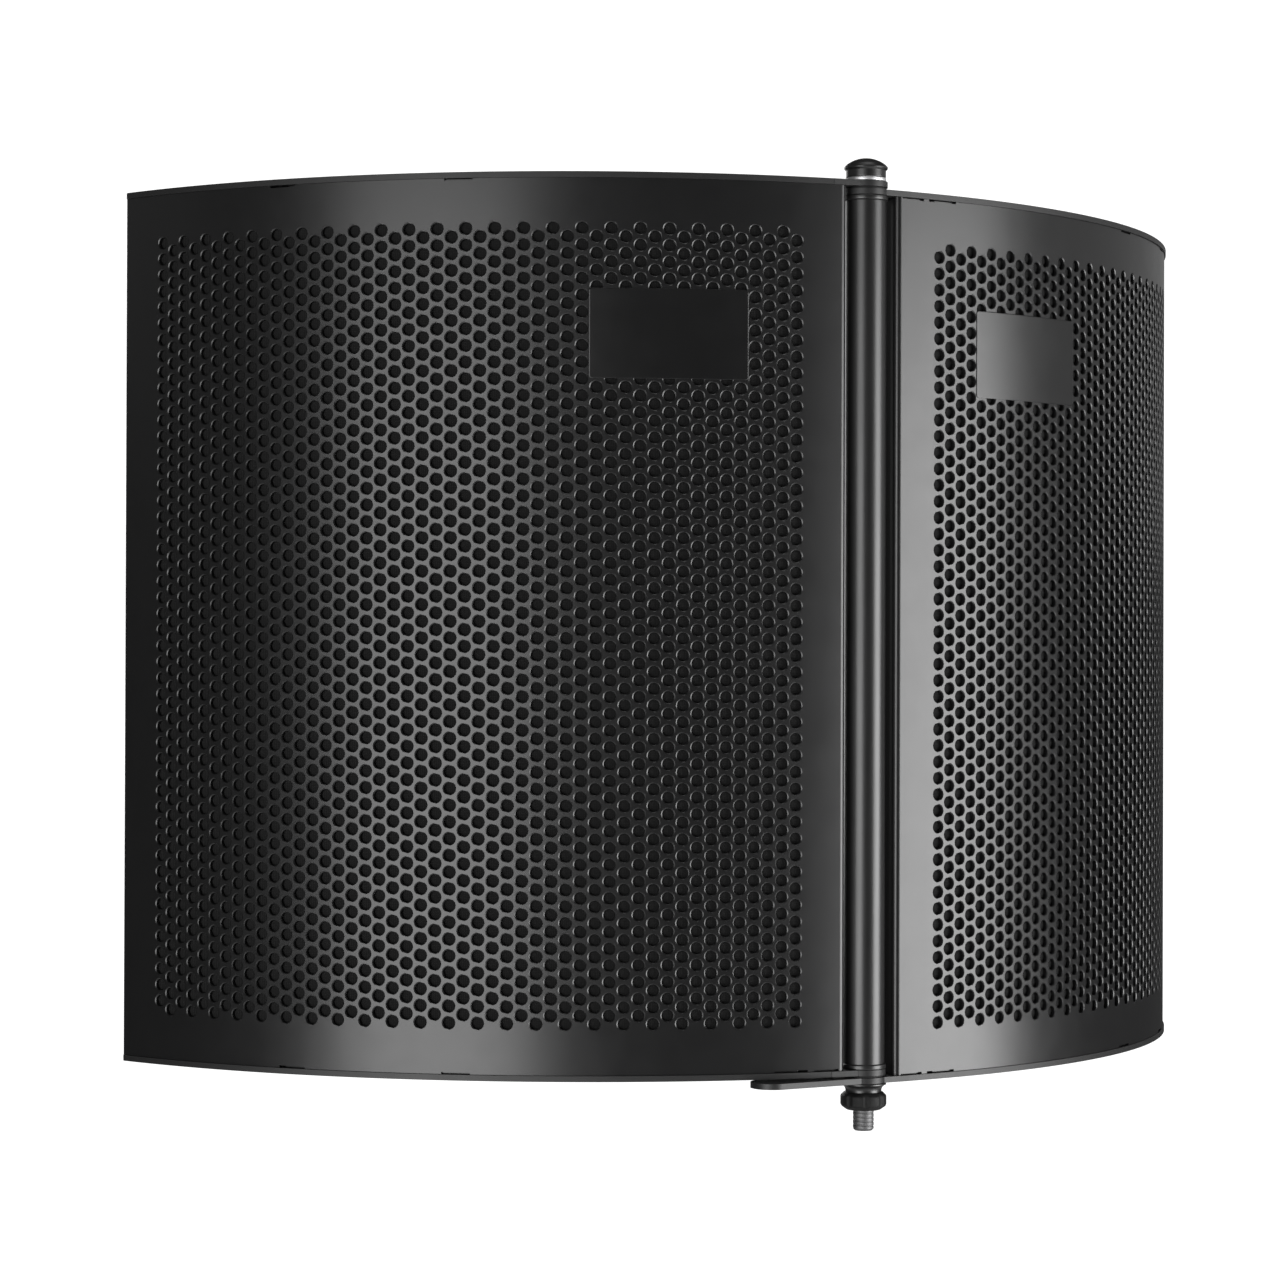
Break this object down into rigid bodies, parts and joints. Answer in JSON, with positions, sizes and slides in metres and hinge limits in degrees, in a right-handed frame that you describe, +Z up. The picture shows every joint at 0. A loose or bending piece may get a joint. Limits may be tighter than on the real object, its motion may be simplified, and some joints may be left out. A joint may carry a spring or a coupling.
{
  "type": "folding microphone isolation shield",
  "caption": "Folding two-panel curved microphone shield: perforated black shells with foam linings, hinged on a threaded centre post with a thumb nut.",
  "frame": {"origin": "on the centre post's axis, where the bare stud comes out of the thumb nut's lower face", "axes": "+Z up along the post; the outer convex side of the shield faces -Y and its hollow, microphone side faces +Y; +X is to the right as seen from the outer side"},
  "size_m": [0.3856, 0.1481, 0.2959],
  "materials": {
    "black_sheet": "satin black powder coat",
    "black_plate": "satin black powder coat",
    "black_badge": "satin black powder coat",
    "black_gloss": "satin black coat",
    "bare_steel": "zinc-plated steel",
    "bright_washer": "bright zinc-plated steel",
    "black_nylon": "black nylon",
    "black_plastic": "black moulded plastic",
    "black_cloth": "black acoustic cloth",
    "black_foam": "charcoal open-cell foam"
  },
  "bodies": {
    "post": {"tie_rod": "bare_steel", "post_tube": "black_gloss", "lower_tube_bushing": "black_gloss", "upper_tube_bushing": "black_gloss", "lower_ear_washer": "black_nylon", "upper_ear_washer": "black_nylon", "cap_washer": "bright_washer", "top_cap": "black_gloss"},
    "left_panel": {"left_outer_skin": "black_sheet", "left_top_plate": "black_plate", "left_bottom_plate": "black_plate", "left_hinge_stile": "black_sheet", "left_free_stile": "black_sheet", "left_skin_tabs": "black_sheet", "left_cloth": "black_cloth", "left_foam": "black_foam", "left_badge_plate": "black_badge"},
    "right_panel": {"right_outer_skin": "black_sheet", "right_top_plate": "black_plate", "right_bottom_plate": "black_plate", "right_hinge_stile": "black_sheet", "right_free_stile": "black_sheet", "right_skin_tabs": "black_sheet", "right_cloth": "black_cloth", "right_foam": "black_foam", "right_badge_plate": "black_badge"},
    "clamp_cone": {"clamp_cone": "black_gloss"},
    "thumb_nut": {"thumb_nut": "black_plastic"}
  },
  "joints": [
    {"name": "left_panel_fold", "type": "hinge", "parent": "post", "child": "left_panel", "pos_m": [0, 0, 0.145], "axis": [0, 0, -1], "range_deg": [-30, 46]},
    {"name": "right_panel_fold", "type": "hinge", "parent": "post", "child": "right_panel", "pos_m": [0, 0, 0.145], "axis": [0, 0, 1], "range_deg": [-30, 46]},
    {"name": "clamp_cone_drop", "type": "slide", "parent": "post", "child": "clamp_cone", "axis": [0, 0, -1], "range_m": [0, 0.0039]},
    {"name": "thumb_nut_turn", "type": "hinge", "parent": "clamp_cone", "child": "thumb_nut", "pos_m": [0, 0, 0.0027], "axis": [0, 0, -1], "range_deg": [0, 1080]}
  ],
  "couplings": [
    {"joint": "clamp_cone_drop", "follows": "thumb_nut_turn", "m_per_rad": 0.00020213}
  ]
}
